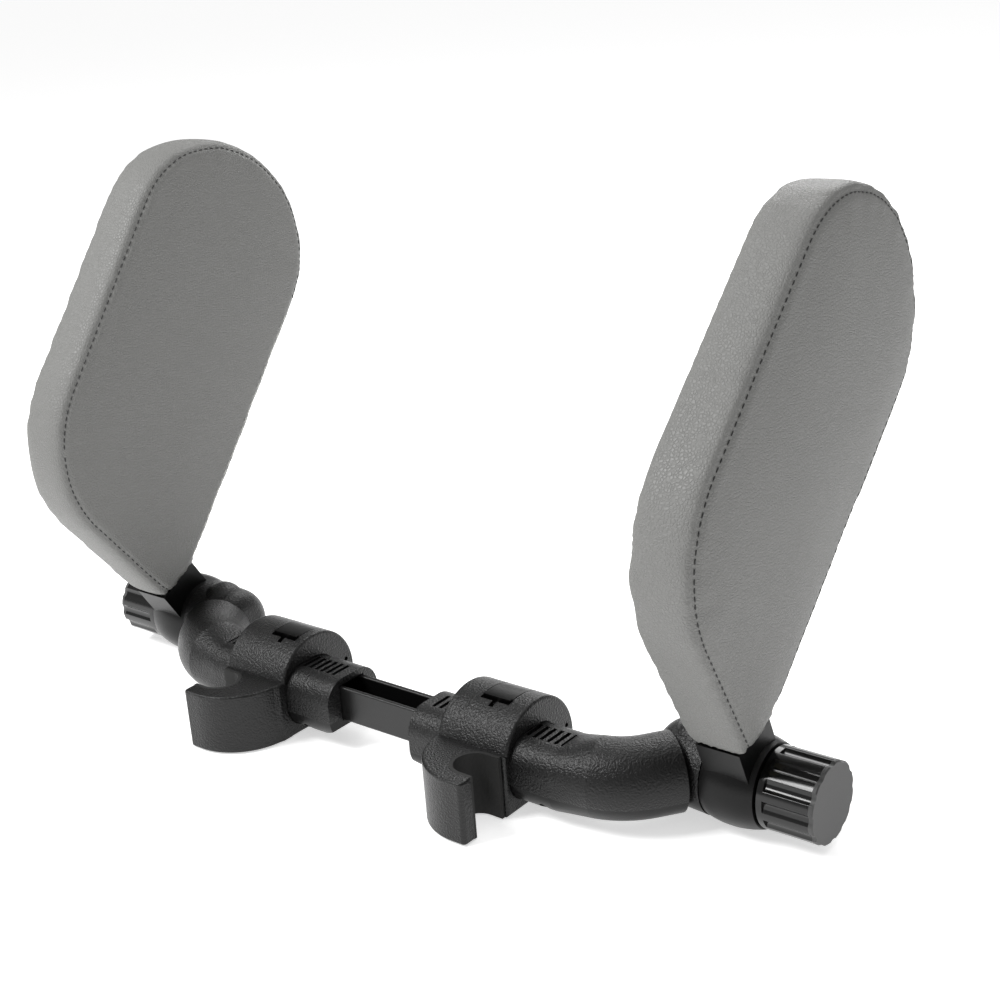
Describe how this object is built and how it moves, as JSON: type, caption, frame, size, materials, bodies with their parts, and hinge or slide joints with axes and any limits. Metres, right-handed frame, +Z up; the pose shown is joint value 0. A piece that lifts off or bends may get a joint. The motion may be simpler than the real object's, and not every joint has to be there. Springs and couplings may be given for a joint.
{
  "type": "clip-on side-wing head support",
  "caption": "Pair of tilting padded wings on sliding arms joined by a rail, with latched clips that hook round the two posts of a seat headrest.",
  "frame": {"origin": "middle of the right-hand clip's post hook, on the post's axis", "axes": "+X from the left wing to the right wing, along the rail; +Y from the posts towards the sitter; +Z up, along the posts"},
  "size_m": [0.4574, 0.2247, 0.2908],
  "materials": {
    "satin_black_abs": "satin black ABS, smooth moulded surface",
    "textured_black_abs": "black ABS with a spark-eroded grain",
    "gloss_black_abs": "glossy black ABS",
    "grey_cap_abs": "dark grey ABS",
    "black_rail": "glass-filled nylon, satin",
    "liner_rubber": "soft matt rubber",
    "zinc_steel": "zinc-plated steel",
    "brass": "turned brass",
    "acetal": "natural acetal",
    "core_board": "birch plywood",
    "pad_foam": "open-cell polyurethane foam",
    "grey_leathercloth": "grained PU leathercloth, mid grey"
  },
  "bodies": {
    "right_arm": {"right_arm_top_shell": "textured_black_abs", "right_arm_bottom_shell": "satin_black_abs", "right_arm_screws": "zinc_steel", "right_rail_stop_screw": "zinc_steel", "right_rail_brake_pad": "liner_rubber", "right_pivot_bolt": "zinc_steel", "right_friction_washer": "acetal"},
    "right_clip": {"right_clip_body": "textured_black_abs", "right_clip_liner": "liner_rubber", "right_latch_pin": "zinc_steel", "right_latch_spring": "zinc_steel"},
    "right_latch": {"right_clip_latch": "satin_black_abs"},
    "right_wing": {"right_wing_hub": "satin_black_abs", "right_wing_plate": "core_board", "right_wing_plate_screws": "zinc_steel", "right_wing_foam": "pad_foam", "right_wing_cover": "grey_leathercloth"},
    "right_thrust": {"right_thrust_washer": "acetal"},
    "right_knob": {"right_knob_grip": "gloss_black_abs", "right_knob_insert": "brass", "right_knob_cap": "grey_cap_abs"},
    "left_arm": {"left_arm_top_shell": "textured_black_abs", "left_arm_bottom_shell": "satin_black_abs", "left_arm_screws": "zinc_steel", "left_rail_stop_screw": "zinc_steel", "left_rail_brake_pad": "liner_rubber", "left_pivot_bolt": "zinc_steel", "left_friction_washer": "acetal"},
    "left_clip": {"left_clip_body": "textured_black_abs", "left_clip_liner": "liner_rubber", "left_latch_pin": "zinc_steel", "left_latch_spring": "zinc_steel"},
    "left_latch": {"left_clip_latch": "satin_black_abs"},
    "left_wing": {"left_wing_hub": "satin_black_abs", "left_wing_plate": "core_board", "left_wing_plate_screws": "zinc_steel", "left_wing_foam": "pad_foam", "left_wing_cover": "grey_leathercloth"},
    "left_thrust": {"left_thrust_washer": "acetal"},
    "left_knob": {"left_knob_grip": "gloss_black_abs", "left_knob_insert": "brass", "left_knob_cap": "grey_cap_abs"},
    "rail": {"rail": "black_rail"}
  },
  "joints": [
    {"name": "right_arm_in_clip", "type": "slide", "parent": "right_clip", "child": "right_arm", "axis": [1, 0, 0], "range_m": [-0.0205, 0.0205]},
    {"name": "rail_in_right_arm", "type": "slide", "parent": "right_arm", "child": "rail", "axis": [-1, 0, 0], "range_m": [-0.02, 0.015]},
    {"name": "left_arm_on_rail", "type": "slide", "parent": "rail", "child": "left_arm", "axis": [-1, 0, 0], "range_m": [-0.02, 0.015]},
    {"name": "left_clip_on_arm", "type": "slide", "parent": "left_arm", "child": "left_clip", "axis": [-1, 0, 0], "range_m": [-0.0287, 0.0123]},
    {"name": "right_latch_rock", "type": "hinge", "parent": "right_clip", "child": "right_latch", "pos_m": [-0.0097, 0.0604, 0.0106], "axis": [-1, 0, 0], "range_deg": [-3.5, 6], "stiffness_Nm_per_rad": 0.05, "springref_deg": -3.5, "deforming": ["right_latch_spring"]},
    {"name": "right_wing_tilt", "type": "hinge", "parent": "right_arm", "child": "right_wing", "pos_m": [0.0918, 0.0684, 0.0064], "axis": [-1, 0, 0], "range_deg": [-90.5, 89.5]},
    {"name": "right_thrust_slide", "type": "slide", "parent": "right_arm", "child": "right_thrust", "axis": [1, 0, 0], "range_m": [0, 0.0019]},
    {"name": "right_knob_turn", "type": "hinge", "parent": "right_thrust", "child": "right_knob", "pos_m": [0.1335, 0.0684, 0.0064], "axis": [1, 0, 0], "range_deg": [0, 540]},
    {"name": "left_latch_rock", "type": "hinge", "parent": "left_clip", "child": "left_latch", "pos_m": [-0.1513, 0.0604, 0.0106], "axis": [-1, 0, 0], "range_deg": [-3.5, 6], "stiffness_Nm_per_rad": 0.05, "springref_deg": -3.5, "deforming": ["left_latch_spring"]},
    {"name": "left_wing_tilt", "type": "hinge", "parent": "left_arm", "child": "left_wing", "pos_m": [-0.2528, 0.0684, 0.0064], "axis": [-1, 0, 0], "range_deg": [-81.7, 98.3]},
    {"name": "left_thrust_slide", "type": "slide", "parent": "left_arm", "child": "left_thrust", "axis": [-1, 0, 0], "range_m": [0, 0.0019]},
    {"name": "left_knob_turn", "type": "hinge", "parent": "left_thrust", "child": "left_knob", "pos_m": [-0.2945, 0.0684, 0.0064], "axis": [-1, 0, 0], "range_deg": [0, 540]}
  ],
  "couplings": [
    {"joint": "right_thrust_slide", "follows": "right_knob_turn", "m_per_rad": 0.000199},
    {"joint": "left_thrust_slide", "follows": "left_knob_turn", "m_per_rad": 0.000199}
  ]
}
